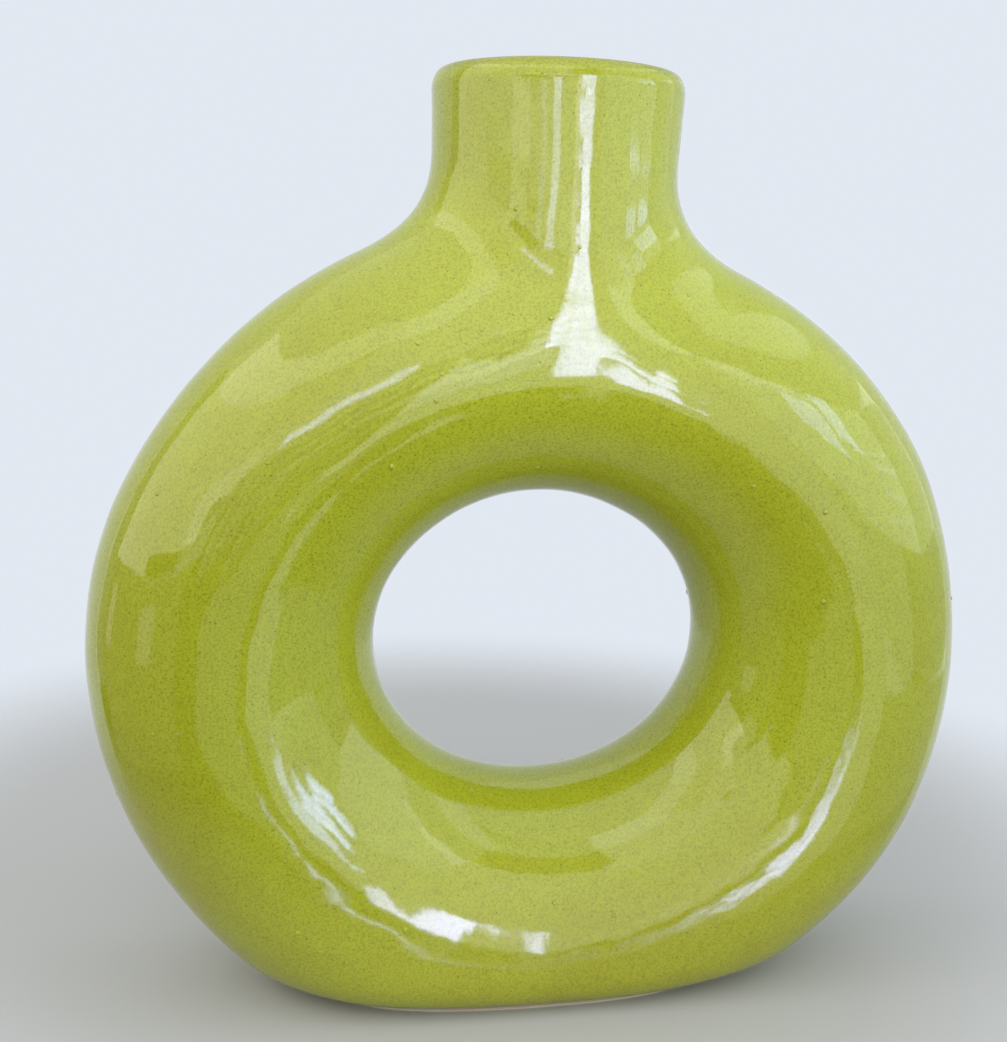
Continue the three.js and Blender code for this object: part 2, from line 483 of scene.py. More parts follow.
class ClayTree:
    """Geometry Nodes that walk laid-out points to the clay's surface, and the meshes made with them."""

    STEPS = 26
    PROBE = 0.0004
    FAR_BELOW = 1.0

    def __init__(self, sizes: ClaySizes) -> None:
        """Builds the two node groups for a set of sizes.

        Args:
            sizes: The clay's sizes.
        """
        self.sizes = sizes
        self.size_sockets = {item.name: "NodeSocketFloat" for item in fields(ClaySizes)}
        self.rule_group = self._rule_group()
        self.walk_group = self._walk_group()

    def _rule_group(self) -> bpy.types.NodeTree:
        """Makes the node group that gives the signed distance at a place.

        Returns:
            The group.
        """
        sockets = {"place": "NodeSocketVector", "inset": "NodeSocketFloat",
                   "sole_level": "NodeSocketFloat"}
        web = Web.group("clay_rule", sockets | self.size_sockets, "distance", "NodeSocketFloat")
        source = web.node("NodeGroupInput")
        place, inset, sole_level = web.outputs(source, sockets)
        rule = ClayRule(ClaySizes(*web.outputs(source, self.size_sockets)))
        web.node("NodeGroupOutput", sockets={0: rule.distance(place, inset, sole_level)})
        return web.tree

    def _walk_group(self) -> bpy.types.NodeTree:
        """Makes the node group that walks the points of a mesh and notes which way its faces point.

        Returns:
            The group.
        """
        sockets = {"mesh": "NodeSocketGeometry", "finish": "NodeSocketMaterial",
                   "steps": "NodeSocketInt"}
        web = Web.group("clay_walk", sockets | self.size_sockets, "mesh", "NodeSocketGeometry")
        source = web.node("NodeGroupInput")
        mesh, finish, steps = web.outputs(source, sockets)
        sizes = dict(zip(self.size_sockets, web.outputs(source, self.size_sockets)))
        named = "GeometryNodeInputNamedAttribute"
        facing = web.add(named, {"data_type": "FLOAT"}, {"Name": "facing"})
        reach = web.add(named, {"data_type": "FLOAT_VECTOR"}, {"Name": "reach"})
        within = 0.5 - 0.5 * facing
        rule = {"inset": within * sizes["wall"], "sole_level": within * -self.FAR_BELOW, **sizes}

        def distance(place: Wire) -> Wire:
            """Signed distance to the skin that each point belongs to."""
            settings = {"node_tree": self.rule_group}
            return web.add("GeometryNodeGroup", settings, {"place": place, **rule})

        enter = web.node("GeometryNodeRepeatInput")
        leave = web.node("GeometryNodeRepeatOutput")
        enter.pair_with_output(leave)
        web.feed(enter, {"Iterations": steps, "Geometry": mesh})
        position = web.add("GeometryNodeInputPosition")
        step = web.scaled(reach, 0.5 ** (Wire(web, enter.outputs["Iteration"]) + 1))
        trial = distance(web.vector("ADD", position, step))
        compare = {"data_type": "FLOAT", "operation": "LESS_THAN"}
        inside = web.add("FunctionNodeCompare", compare, {0: trial, 1: 0.0})
        moving = {"Geometry": Wire(web, enter.outputs["Geometry"]), "Selection": inside, "Offset": step}
        web.feed(leave, {"Geometry": web.add("GeometryNodeSetPosition", sockets=moving)})

        slopes = []
        for axis in range(3):
            probe = Vector([self.PROBE if axis == k else 0.0 for k in range(3)])
            ahead = distance(web.vector("ADD", position, probe))
            slopes.append(ahead - distance(web.vector("SUBTRACT", position, probe)))
        slope = web.add("ShaderNodeCombineXYZ", sockets=dict(enumerate(slopes)))
        normal = web.add("ShaderNodeVectorMath", {"operation": "NORMALIZE"}, {0: slope})
        note = {"Geometry": Wire(web, leave.outputs["Geometry"]), "Name": "outward",
                "Value": web.scaled(normal, facing)}
        kind = {"data_type": "FLOAT_VECTOR", "domain": "POINT"}
        noted = web.add("GeometryNodeStoreNamedAttribute", kind, note)
        whole = web.add("GeometryNodeRealizeInstances", sockets={"Geometry": noted})
        dressed = web.add("GeometryNodeSetMaterial", sockets={"Geometry": whole, "Material": finish})
        web.node("NodeGroupOutput", sockets={0: dressed})
        return web.tree

    def walked(self, rows: Sequence[Row], faces: Sequence,
               finish: Optional[bpy.types.Material]) -> bpy.types.Mesh:
        """Lays out rows of points and walks them to the clay's surface.

        Args:
            rows: Rows of equal length.
            faces: Faces over the points, counted along each row in turn.
            finish: Material of the faces.

        Returns:
            The plain mesh, with the attribute that says which way each point faces.
        """
        mesh = bpy.data.meshes.new("clay_layout")
        mesh.from_pydata(np.concatenate([row.starts for row in rows]), [], faces)
        reach = mesh.attributes.new("reach", "FLOAT_VECTOR", "POINT")
        reach.data.foreach_set("vector", np.concatenate([row.reaches for row in rows]).ravel())
        facing = mesh.attributes.new("facing", "FLOAT", "POINT")
        turned = [float(row.facing) for row in rows]
        facing.data.foreach_set("value", np.repeat(turned, len(rows[0].starts)))
        values = {"finish": finish, "steps": self.STEPS, **asdict(self.sizes)}
        return evaluated(mesh, self.walk_group, values)

    def places(self, row: Row) -> np.ndarray:
        """Finds where the points of a row come to rest.

        Args:
            row: The row.

        Returns:
            The places, one for each point.
        """
        mesh = self.walked([row], [], None)
        found = np.empty(3 * len(mesh.vertices))
        mesh.vertices.foreach_get("co", found)
        bpy.data.meshes.remove(mesh)
        return found.reshape(-1, 3)

    def solid(self, rows: Sequence[Row], ends: Ends, finish: bpy.types.Material) -> bpy.types.Mesh:
        """Closed mesh through rows of points.

        Args:
            rows: Rows of equal length. Between rows that face opposite ways lies a flat joint.
            ends: How the loft ends.
            finish: Material of all faces.

        Returns:
            The mesh, with its faces outward and the clay's own normals on its skins.
        """
        faces, smooth = lofted(rows, ends)
        mesh = self.walked(rows, faces, finish)
        mesh.polygons.foreach_set("use_smooth", smooth)
        face_outward(mesh)
        return mesh


def lofted(rows: Sequence[Row], ends: Ends) -> tuple[list[Sequence[int]], list[bool]]:
    """Faces between rows of points.

    Args:
        rows: Rows of equal length.
        ends: How the loft ends.

    Returns:
        The faces, and whether each is smooth.
    """
    columns, stacks = len(rows[0].starts), len(rows)
    turns = columns - (ends is Ends.CAPPED_COLUMNS)
    bands = stacks - (ends in (Ends.CAPPED_ROWS, Ends.OPEN_ROWS))
    faces, smooth = [], []
    for band in range(bands):
        upper = (band + 1) % stacks
        joint = rows[band].facing * rows[upper].facing < 0
        for turn in range(turns):
            after = (turn + 1) % columns
            faces.append((band * columns + turn, band * columns + after,
                          upper * columns + after, upper * columns + turn))
            smooth.append(not joint)
    if ends is Ends.CAPPED_COLUMNS:
        faces.append([band * columns for band in range(stacks)])
        faces.append([band * columns + columns - 1 for band in reversed(range(stacks))])
    if ends is Ends.CAPPED_ROWS:
        faces.append(list(reversed(range(columns))))
        faces.append([(stacks - 1) * columns + turn for turn in range(columns)])
    smooth.extend([False] * (len(faces) - len(smooth)))
    return faces, smooth


def linked(name: str, data: bpy.types.ID) -> bpy.types.Object:
    """Puts some data in the scene.

    Args:
        name: Name of the new object.
        data: Its mesh, lamp or camera.

    Returns:
        The object, at the origin.
    """
    item = bpy.data.objects.new(name, data)
    bpy.context.scene.collection.objects.link(item)
    return item


def evaluated(mesh: bpy.types.Mesh, group: bpy.types.NodeTree, values: dict) -> bpy.types.Mesh:
    """Runs a Geometry Nodes group on a mesh, which is used up.

    Args:
        mesh: The mesh that goes in.
        group: The node group.
        values: Its inputs, by name.

    Returns:
        The plain mesh that comes out.
    """
    worker = linked("clay_worker", mesh)
    modifier = worker.modifiers.new(group.name, "NODES")
    modifier.node_group = group
    for item in group.interface.items_tree:
        if item.in_out == "INPUT" and item.name in values:
            modifier[item.identifier] = values[item.name]
    graph = bpy.context.evaluated_depsgraph_get()
    result = bpy.data.meshes.new_from_object(
        worker.evaluated_get(graph), preserve_all_data_layers=True, depsgraph=graph)
    bpy.data.objects.remove(worker)
    bpy.data.meshes.remove(mesh)
    return result


def face_outward(mesh: bpy.types.Mesh) -> None:
    """Turns a closed mesh's faces outward, and gives the smooth ones the normals that its points noted.

    Args:
        mesh: The mesh, which loses its notes.
    """
    corners = np.empty(3 * len(mesh.vertices))
    mesh.vertices.foreach_get("co", corners)
    corners = corners.reshape(-1, 3)
    mesh.calc_loop_triangles()
    triangles = np.empty(3 * len(mesh.loop_triangles), dtype=np.int32)
    mesh.loop_triangles.foreach_get("vertices", triangles)
    first, second, third = corners[triangles.reshape(-1, 3)].transpose(1, 0, 2)
    if np.einsum("ij,ij->", first, np.cross(second, third)) < 0:
        mesh.flip_normals()
    outward = np.empty(3 * len(mesh.vertices))
    mesh.attributes["outward"].data.foreach_get("vector", outward)
    vertex = np.empty(len(mesh.loops), dtype=np.int32)
    mesh.loops.foreach_get("vertex_index", vertex)
    sides = np.empty(len(mesh.polygons), dtype=np.int32)
    mesh.polygons.foreach_get("loop_total", sides)
    smooth = np.empty(len(mesh.polygons), dtype=bool)
    mesh.polygons.foreach_get("use_smooth", smooth)
    normals = outward.reshape(-1, 3)[vertex] * np.repeat(smooth, sides)[:, None]
    for name in ("reach", "facing", "outward"):
        mesh.attributes.remove(mesh.attributes[name])
    mesh.normals_split_custom_set(normals.tolist())


@dataclass(frozen=True)
class JointSizes:
    """Where the clay members meet."""

    slip: float = 0.001
    sole_thickness: float = 0.006
    neck_joint_rise: float = 0.0055


class RingLayout:
    """Stations round the hole, and the rows of points that run across each half of the ring."""

    LIMB_STEPS = 128
    BASE_STEPS = 56
    NECK_STEPS = 48
    SKIN_STEPS = {Skin.OUTSIDE: 104, Skin.HOLLOW: 32}
    REACH = 0.15
    LEAST_SHARE = 1e-9

    def __init__(self, tree: ClayTree, joints: JointSizes) -> None:
        """Works out the heights of the joints and lays out both halves.

        Args:
            tree: The clay's node groups.
            joints: Sizes of the joints.
        """
        self.tree = tree
        self.joints = joints
        self.base_joint_z = joints.sole_thickness + joints.slip
        self.neck_joint_z = tree.sizes.ring_top + joints.neck_joint_rise
        self.collar_z = self.neck_joint_z + joints.slip
        self.rows = {(half, skin): self._rows(half, skin) for half in Half for skin in Skin}

    def _stations(self, half: Half, skin: Skin) -> tuple[np.ndarray, np.ndarray]:
        """Angles round the hole, clockwise from the right end of the neck joint.

        Args:
            half: The half of the ring.
            skin: The face of the clay.

        Returns:
            The angles, and the height of the level joint at each, which is not a number on the seam.
        """
        heights = [self.neck_joint_z, self.base_joint_z, self.base_joint_z, self.neck_joint_z]
        starts = np.array([(0.0, half.value * self.joints.slip / 2, z) for z in heights])
        reaches = np.array([(side * self.REACH, 0.0, 0.0) for side in (1, 1, -1, -1)])
        corners = self.tree.places(Row(starts, reaches, skin.value))
        turns = np.unwrap(np.arctan2(corners[:, 2] - self.tree.sizes.hole_z, corners[:, 0]))
        turns = [*turns, turns[0] - 2 * math.pi]
        counts = [self.LIMB_STEPS, self.BASE_STEPS, self.LIMB_STEPS, self.NECK_STEPS]
        levels = [math.nan, self.base_joint_z, math.nan, self.neck_joint_z]
        angles, heights = [], []
        for start, end, count, level in zip(turns, turns[1:], counts, levels):
            share = np.arange(count) / count
            if not math.isnan(level):
                share = (1 - np.cos(math.pi * share)) / 2
            angles.append(start + (end - start) * share)
            heights.append(np.where(np.arange(count) > 0, level, math.nan))
        return np.concatenate(angles), np.concatenate(heights)

    def _tube_centre(self, cos: np.ndarray, sin: np.ndarray) -> np.ndarray:
        """Finds the middle of the hollow along directions from the hole's centre.

        Args:
            cos: Share of each direction along X.
            sin: Share of each direction along Z.

        Returns:
            The distance from the hole's centre, for each direction.
        """
        s = self.tree.sizes
        limb = (s.hole_width / 2 + s.ring_half_width) / 2
        crown = s.crown_z - s.hole_z
        sole = s.hole_z - (self.base_joint_z + s.sole_height) / 2
        return 1 / np.hypot(cos / limb, sin / np.where(sin > 0, crown, sole))

    def _rows(self, half: Half, skin: Skin) -> list[Row]:
        """Rows of one face of one half, from its outer joint to its joint at the hole.

        Args:
            half: The half of the ring.
            skin: The face of the clay.

        Returns:
            Rows of points that start in the middle of the hollow and fan out across each station.
        """
        angles, levels = self._stations(half, skin)
        hole_z, seam_y = self.tree.sizes.hole_z, half.value * self.joints.slip / 2
        cos, sin = np.cos(angles), np.sin(angles)
        centre = self._tube_centre(cos, sin)
        radial = np.stack([cos, np.zeros_like(cos), sin], axis=1)
        depth = np.array([0.0, half.value, 0.0])
        middle = np.array([0.0, seam_y, hole_z])
        starts = middle + centre[:, None] * radial
        on_level = ~np.isnan(levels)
        edge_out = np.where(on_level, (np.nan_to_num(levels) - hole_z) / sin, centre)
        edge = Row(middle + edge_out[:, None] * radial,
                   self.REACH * np.where(on_level[:, None], depth, radial), skin.value)
        edge_places = self.tree.places(edge)
        edge_depth = np.abs(edge_places[:, 1] - seam_y)
        edge_width = np.hypot(edge_places[:, 0], edge_places[:, 2] - hole_z) - centre
        first_turn = np.arctan2(edge_depth, edge_width)
        rows = [edge]
        steps = self.SKIN_STEPS[skin]
        for step in range(1, steps + 1):
            turn = first_turn + (math.pi - first_turn) * step / steps
            across, outward = np.cos(turn), np.sin(turn)
            to_axis = np.where(across < 0, centre / np.maximum(-across, self.LEAST_SHARE), self.REACH)
            reach = np.minimum(self.REACH, to_axis)[:, None]
            ways = across[:, None] * radial + outward[:, None] * depth
            rows.append(Row(starts, reach * ways, skin.value))
        return rows

    def shell(self, half: Half) -> list[Row]:
        """Rows round the wall of one half: along its outside and back along its hollow."""
        return [*self.rows[half, Skin.OUTSIDE], *reversed(self.rows[half, Skin.HOLLOW])]

    def outside(self) -> list[Row]:
        """Rows over the whole outside: in along the front half and out along the rear half."""
        return [*self.rows[Half.FRONT, Skin.OUTSIDE], *reversed(self.rows[Half.REAR, Skin.OUTSIDE])]

    def seam(self, row: int, columns: Sequence[int]) -> list[Row]:
        """Rows round a slip joint between the halves.

        Args:
            row: 0 for a joint at the outside, or -1 for the joint at the hole.
            columns: Columns that the joint runs along.

        Returns:
            One row for each edge of the joint.
        """
        corners = [(Half.FRONT, Skin.OUTSIDE), (Half.REAR, Skin.OUTSIDE),
                   (Half.REAR, Skin.HOLLOW), (Half.FRONT, Skin.HOLLOW)]
        return [self.rows[corner][row].picked(columns) for corner in corners]

    @property
    def right_limb(self) -> list[int]:
        """Columns of the right limb, with its two corners."""
        return list(range(self.LIMB_STEPS + 1))

    @property
    def left_limb(self) -> list[int]:
        """Columns of the left limb, with its two corners."""
        first = self.LIMB_STEPS + self.BASE_STEPS
        return list(range(first, first + self.LIMB_STEPS + 1))

    @property
    def round_hole(self) -> list[int]:
        """All columns, once round the hole."""
        return list(range(2 * self.LIMB_STEPS + self.BASE_STEPS + self.NECK_STEPS))

    def _level_edge(self, columns: list[int], skin: Skin) -> Row:
        """Row once round a level joint, from columns that run from left to right."""
        front, rear = (self.rows[half, skin][0] for half in (Half.FRONT, Half.REAR))
        return front.picked(columns).joined(rear.picked(columns[::-1]))

    def neck_edge(self, skin: Skin) -> Row:
        """Row once round the neck joint."""
        first = 2 * self.LIMB_STEPS + self.BASE_STEPS
        return self._level_edge([*range(first, first + self.NECK_STEPS), 0], skin)

    def base_edge(self, skin: Skin) -> Row:
        """Row once round the base joint."""
        columns = range(self.LIMB_STEPS, self.LIMB_STEPS + self.BASE_STEPS + 1)
        return self._level_edge(list(reversed(columns)), skin)

    def directions(self, edge: Row) -> np.ndarray:
        """Level directions from the Z axis to the points of a joint's edge."""
        flat = self.tree.places(edge) * (1, 1, 0)
        return flat / np.linalg.norm(flat, axis=1, keepdims=True)


@dataclass(frozen=True)
class Specks:
    """Specks of one size in the glaze.

    They lie one to a cell, in a share of the cells, and the least have a share of the greatest radius.
    """

    spacing: float
    radius: float
    share: float
    softness: float
    strength: float
    least: float = 0.45

    def mask(self, web: Web, place: Wire) -> Wire:
        """Finds where the specks lie.

        Args:
            web: Tree of the material.
            place: Place on the vase.

        Returns:
            How strongly a speck covers the place, from 0 to 1.
        """
        settings = {"feature": "F1", "voronoi_dimensions": "3D"}
        sockets = {"Vector": place, "Scale": 1 / self.spacing}
        cells = web.node("ShaderNodeTexVoronoi", settings, sockets)
        colour, out = web.outputs(cells, ["Color", "Distance"])
        pick = web.add("ShaderNodeSeparateColor", sockets={0: colour})
        size = self.radius / self.spacing * (self.least + (1 - self.least) * pick / self.share)
        inside = ((size - out) * (self.spacing / self.softness)).clamped()
        return inside * web.math("LESS_THAN", pick, self.share) * self.strength


@dataclass(frozen=True)
class Glaze:
    """Glossy lime glaze with olive specks, on stoneware that stays bare below the glaze line."""

    lime: Colour = (0.426, 0.480, 0.028, 1.0)
    olive: Colour = (0.346, 0.340, 0.016, 1.0)
    speck: Colour = (0.130, 0.140, 0.004, 1.0)
    iron: Colour = (0.130, 0.085, 0.020, 1.0)
    # Lip colour: darker olive, partly glaze that runs thin on the rim and partly painted shade that
    # keeps the top of the rim from looking lit from above.
    lip: Colour = (0.200, 0.185, 0.020, 1.0)
    clay: Colour = (0.700, 0.620, 0.460, 1.0)
    clay_grit: Colour = (0.480, 0.400, 0.280, 1.0)
    pepper: Specks = Specks(0.0007, 0.00016, 0.60, 0.0001, strength=0.7)
    freckles: Specks = Specks(0.0011, 0.00024, 0.65, 0.00012, strength=0.85)
    iron_spots: Specks = Specks(0.0120, 0.00040, 0.35, 0.00018, strength=0.85)
    cloud_length: float = 0.050
    cloud_start: float = 0.42
    cloud_gain: float = 2.6
    cloud_share: float = 0.45
    streak_length: float = 0.006
    streak_detail: float = 4.0
    streak_share: float = 0.5
    grain_length: float = 0.0005
    grain_detail: float = 3.0
    grain_start: float = 0.42
    grain_gain: float = 1.6
    # Painted shade: the glaze turns toward olive towards the bottom, for the dim, warm light that
    # reaches the lower body.
    low_shade_height: float = 0.075
    low_shade_length: float = 0.070
    low_shade_share: float = 0.5
    # Where the darker lip begins and how strongly it shows: partly thin glaze, partly painted shade on
    # the top of the rim.
    lip_start: float = 0.2078
    lip_length: float = 0.0020
    lip_share: float = 0.55
    ripple_length: float = 0.0035
    ripple_height: float = 0.00002
    gloss: float = 0.055
    gloss_sway: float = 0.03
    refractive_index: float = 1.6
    clay_roughness: float = 0.85
    grit_detail: float = 4.0
    grit_share: float = 0.6
    glaze_line: float = 0.0010
    glaze_line_sway: float = 0.0003
    glaze_line_softness: float = 0.00015

    @staticmethod
    def noise(web: Web, place: Wire, length: float, detail: float = 2.0) -> Wire:
        """Soft noise from 0 to 1, over a length."""
        sockets = {"Vector": place, "Scale": 1 / length, "Detail": detail}
        return web.add("ShaderNodeTexNoise", sockets=sockets)

    def colour(self, web: Web, place: Wire) -> Wire:
        """Mixes the glaze: lime clouded with olive, deepened to olive low down by painted shade, a lip
        darkened partly by thin glaze and partly by painted shade, and specks.

        Args:
            web: Tree of the material.
            place: Place on the vase.

        Returns:
            The colour.
        """
        _, _, z = web.split(place)
        # Painted shade: more olive, so darker, towards the bottom of the vase.
        painted_low_shade = ((self.low_shade_height - z) / self.low_shade_length).clamped()
        cloud = self.noise(web, place, self.cloud_length) - self.cloud_start
        cloud = (cloud * self.cloud_gain).clamped()
        streak = self.noise(web, place, self.streak_length, self.streak_detail) - 0.5
        shares = cloud * self.cloud_share + painted_low_shade * self.low_shade_share + streak * self.streak_share
        body = web.mixed(shares.clamped(), self.lime, self.olive)
        # Darker lip: partly thin glaze, partly painted shade on the top of the rim.
        thin_lip_and_shade = ((z - self.lip_start) / self.lip_length).clamped()
        body = web.mixed(thin_lip_and_shade * self.lip_share, body, self.lip)
        grain = self.noise(web, place, self.grain_length, self.grain_detail) - self.grain_start
        body = web.mixed((grain * self.grain_gain).clamped(), body, self.speck)
        body = web.mixed(self.pepper.mask(web, place), body, self.speck)
        body = web.mixed(self.freckles.mask(web, place), body, self.speck)
        return web.mixed(self.iron_spots.mask(web, place), body, self.iron)

    def material(self, name: str, bare_below: bool) -> bpy.types.Material:
        """Material of the glaze.

        Args:
            name: Name of the material.
            bare_below: Whether the clay is bare below the glaze line.

        Returns:
            The material.
        """
        material = bpy.data.materials.new(name)
        web = Web.shading(material)
        place = web.add("ShaderNodeTexCoord", output="Object")
        colour = self.colour(web, place)
        roughness = self.gloss + self.gloss_sway * self.noise(web, place, self.streak_length)
        height = self.noise(web, place, self.ripple_length) * self.ripple_height
        if bare_below:
            _, _, z = web.split(place)
            sway = (self.noise(web, place, self.streak_length) - 0.5) * (2 * self.glaze_line_sway)
            glazed = ((z - self.glaze_line + sway) / self.glaze_line_softness + 0.5).clamped()
            grit = self.noise(web, place, self.grain_length, self.grit_detail)
            bare = web.mixed(grit * self.grit_share, self.clay, self.clay_grit)
            colour = web.mixed(glazed, bare, colour)
            roughness = self.clay_roughness + glazed * (roughness - self.clay_roughness)
        normal = web.add("ShaderNodeBump", sockets={"Strength": 1.0, "Distance": 1.0, "Height": height})
        shader = web.add("ShaderNodeBsdfPrincipled", sockets={
            "Base Color": colour, "Roughness": roughness, "IOR": self.refractive_index,
            "Normal": normal})
        web.node("ShaderNodeOutputMaterial", sockets={"Surface": shader})
        return material


class Slot(Enum):
    """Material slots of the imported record."""

    GLAZE = "lime_glaze"
    CLAY = "bare_clay"


def finished(name: str, mesh: bpy.types.Mesh, nodes: Sequence[str]) -> bpy.types.Object:
    """Makes a piece of the vase from its mesh, riding on the body in place of its solids.

    Args:
        name: Name of the piece.
        mesh: Its mesh, in place.
        nodes: The solids that it stands for.

    Returns:
        The piece.
    """
    mesh.name = name
    piece = linked(name, mesh)
    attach(piece, BODY)
    if nodes:
        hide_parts(*nodes)
    LOG.info("%s: %d faces", name, len(mesh.polygons))
    return piece


@dataclass
class RingShells:
    """Front and rear half of the hollow ring."""

    layout: RingLayout
    glaze: bpy.types.Material

    def build(self) -> list[bpy.types.Object]:
        """Builds both halves.

        Returns:
            The front half and the rear half.
        """
        pieces = []
        for half in Half:
            side = half.name.lower()
            mesh = self.layout.tree.solid(self.layout.shell(half), Ends.RINGS, self.glaze)
            pieces.append(finished(f"{side}_shell", mesh, [f"ring_{side}_shell"]))
        return pieces


@dataclass
class SlipJoints:
    """Layers of slip between the halves of the ring, under the collar and over the sole."""

    layout: RingLayout
    glaze: bpy.types.Material

    def level_rows(self, edge: dict[Skin, Row], far_z: float) -> list[Row]:
        """Rows round a level layer of slip.

        Args:
            edge: Row along the shells' edge, for each face of the clay.
            far_z: Height of the layer's other face.

        Returns:
            Rows up the outside and down the hollow.
        """
        layout = self.layout
        far = {}
        for skin in Skin:
            directions = layout.directions(edge[skin])
            far[skin] = Row.level(directions, far_z, layout.REACH, skin)
        return [edge[Skin.OUTSIDE], far[Skin.OUTSIDE], far[Skin.HOLLOW], edge[Skin.HOLLOW]]

    def build(self) -> list[bpy.types.Object]:
        """Builds the five layers of slip.

        Returns:
            The layers at the left, at the right, round the hole, under the collar and over the sole.
        """
        layout = self.layout
        neck = {skin: layout.neck_edge(skin) for skin in Skin}
        base = {skin: layout.base_edge(skin) for skin in Skin}
        under_collar = self.level_rows(neck, layout.collar_z)
        over_sole = self.level_rows(base, layout.joints.sole_thickness)
        layers = [
            ("left_seam", "outer_seam_left", layout.seam(0, layout.left_limb), Ends.CAPPED_COLUMNS),
            ("right_seam", "outer_seam_right", layout.seam(0, layout.right_limb), Ends.CAPPED_COLUMNS),
            ("hole_seam", "inner_seam", layout.seam(-1, layout.round_hole), Ends.RINGS),
            ("collar_seam", "neck_seam", under_collar, Ends.RINGS),
            ("sole_seam", "base_seam", over_sole, Ends.RINGS),
        ]
        return [finished(name, layout.tree.solid(rows, ends, self.glaze), [node])
                for name, node, rows, ends in layers]


@dataclass
class NeckCollar:
    """Thrown neck with a flared lip that is rounded over at the rim."""

    layout: RingLayout
    glaze: bpy.types.Material
    rim_round: float = 0.0045
    wall_steps: int = 24
    rim_steps: int = 16

    def build(self) -> bpy.types.Object:
        """Builds the collar.

        Returns:
            The collar.
        """
        layout, tree = self.layout, self.layout.tree
        top = tree.sizes.rim_z - self.rim_round
        heights = np.linspace(layout.collar_z, top, self.wall_steps + 1)
        walls = {}
        for skin in Skin:
            directions = layout.directions(layout.neck_edge(skin))
            walls[skin] = [Row.level(directions, z, layout.REACH, skin) for z in heights]
        outer, inner = (tree.places(walls[skin][-1]) for skin in (Skin.OUTSIDE, Skin.HOLLOW))
        rim = []
        for step in range(1, self.rim_steps):
            turn = math.pi * step / self.rim_steps
            places = outer + (inner - outer) * (1 - math.cos(turn)) / 2
            places[:, 2] = top + self.rim_round * math.sin(turn)
            rim.append(Row.fixed(places))
        rows = [*walls[Skin.OUTSIDE], *rim, *reversed(walls[Skin.HOLLOW])]
        mesh = tree.solid(rows, Ends.RINGS, self.glaze)
        return finished("collar", mesh, ["neck_collar"])


@dataclass
class Sole:
    """Flat clay sole with a rounded edge that the glaze covers down to a thin bare line."""

    layout: RingLayout
    finish: bpy.types.Material
    edge_steps: int = 24
    foot_height: float = 0.0010

    def build(self) -> bpy.types.Object:
        """Builds the sole.

        Returns:
            The sole.
        """
        layout, tree = self.layout, self.layout.tree
        directions = layout.directions(layout.base_edge(Skin.OUTSIDE))
        rise = layout.joints.sole_thickness - self.foot_height
        heights = self.foot_height + rise * np.linspace(1, 0, self.edge_steps + 1) ** 2
        rows = [Row.level(directions, z, layout.REACH, Skin.OUTSIDE) for z in heights]
        rows.append(Row.fixed(tree.places(rows[-1]) * (1, 1, 0)))
        mesh = tree.solid(rows, Ends.CAPPED_ROWS, self.finish)
        return finished("sole", mesh, ["base_slab"])


@dataclass
class GlazePips:
    """Small round pips in the glaze, scattered over the outside of the ring."""

    layout: RingLayout
    glaze: bpy.types.Material
    per_square_metre: float = 900.0
    least_radius: float = 0.0003
    greatest_radius: float = 0.0007
    flatness: float = 0.4
    ball_subdivisions: int = 2
    seed: int = 5

    def group(self) -> bpy.types.NodeTree:
        """Makes the node group that scatters flattened balls over a mesh.

        Returns:
            The group.
        """
        inputs = {
            "mesh": "NodeSocketGeometry",
            "finish": "NodeSocketMaterial",
            "seed": "NodeSocketInt",
            "per_square_metre": "NodeSocketFloat",
            "least_radius": "NodeSocketFloat",
            "greatest_radius": "NodeSocketFloat",
            "flatness": "NodeSocketFloat",
        }
        web = Web.group("glaze_pips", inputs, "mesh", "NodeSocketGeometry")
        source = web.node("NodeGroupInput")
        mesh, finish, seed, density, least, greatest, flatness = web.outputs(source, inputs)
        scatter = web.node("GeometryNodeDistributePointsOnFaces", sockets={
            "Mesh": mesh, "Density": density, "Seed": seed})
        points, turn = web.outputs(scatter, ["Points", "Rotation"])
        span = {2: least, 3: greatest, "Seed": seed}
        radius = web.add("FunctionNodeRandomValue", {"data_type": "FLOAT"}, span, output=1)
        ball = web.add("GeometryNodeMeshIcoSphere", sockets={
            "Radius": 1.0, "Subdivisions": self.ball_subdivisions})
        size = web.add("ShaderNodeCombineXYZ", sockets={0: radius, 1: radius, 2: radius * flatness})
        pips = web.add("GeometryNodeInstanceOnPoints", sockets={
            "Points": points, "Instance": ball, "Rotation": turn, "Scale": size})
        whole = web.add("GeometryNodeRealizeInstances", sockets={"Geometry": pips})
        smooth = web.add("GeometryNodeSetShadeSmooth", sockets={"Geometry": whole})
        dressed = web.add("GeometryNodeSetMaterial", sockets={"Geometry": smooth, "Material": finish})
        web.node("NodeGroupOutput", sockets={0: dressed})
        return web.tree

    def build(self) -> bpy.types.Object:
        """Builds the pips.

        Returns:
            All pips, as one piece.
        """
        rows = self.layout.outside()
        faces, _ = lofted(rows, Ends.OPEN_ROWS)
        skin = self.layout.tree.walked(rows, faces, None)
        sizes = {item.name: getattr(self, item.name) for item in fields(self)}
        mesh = evaluated(skin, self.group(), {"finish": self.glaze, **sizes})
        return finished("glaze_pips", mesh, [])


